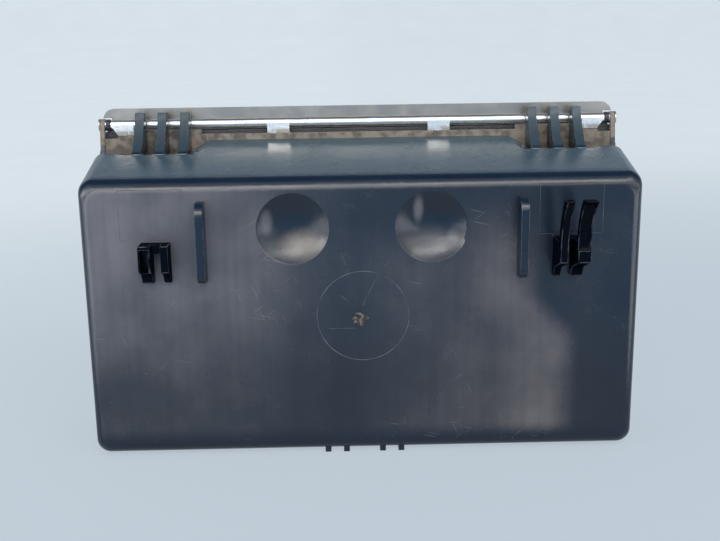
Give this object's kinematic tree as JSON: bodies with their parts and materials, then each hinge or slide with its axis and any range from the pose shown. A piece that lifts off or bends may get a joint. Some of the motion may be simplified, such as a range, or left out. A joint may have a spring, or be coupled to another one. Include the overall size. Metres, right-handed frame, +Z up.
{
  "type": "recessed vehicle ashtray",
  "caption": "Recessed vehicle ashtray: moulded tub with dimpled back, hook and guide ribs, bright hinge strip, and a flap lid that swings up.",
  "frame": {"origin": "centre of the part's box, at the level of its standing feet", "axes": "+Z up towards the hinge strip, +Y out of the mouth towards the user, +X to the right seen from behind the tub"},
  "size_m": [0.133, 0.049, 0.0835],
  "materials": {
    "black_moulding": "glossy blue-black moulding, scratched and dusty",
    "bright_strip": "bright rolled sheet, slightly dulled",
    "steel_rod": "drawn wire",
    "spring_steel": "bright spring steel",
    "lid_plastic": "fine grained black",
    "rubber_buffer": "soft black rubber",
    "rivet_metal": "dull rivet metal",
    "plated_sheet": "zinc plated sheet"
  },
  "bodies": {
    "housing": {"tub": "black_moulding", "trim_strip": "bright_strip", "hinge_rod": "steel_rod", "rod_caps": "steel_rod", "wave_washers": "spring_steel", "catch_clip": "spring_steel", "catch_rivet": "rivet_metal", "cigarette_rest": "plated_sheet", "rest_rivets": "rivet_metal"},
    "flap": {"lid": "lid_plastic", "lid_pull": "bright_strip", "lid_buffers": "rubber_buffer"}
  },
  "joints": [
    {"name": "lid_hinge", "type": "hinge", "parent": "housing", "child": "flap", "pos_m": [0, 0.0191, 0.0794], "axis": [1, 0, 0], "range_deg": [0, 95]}
  ]
}
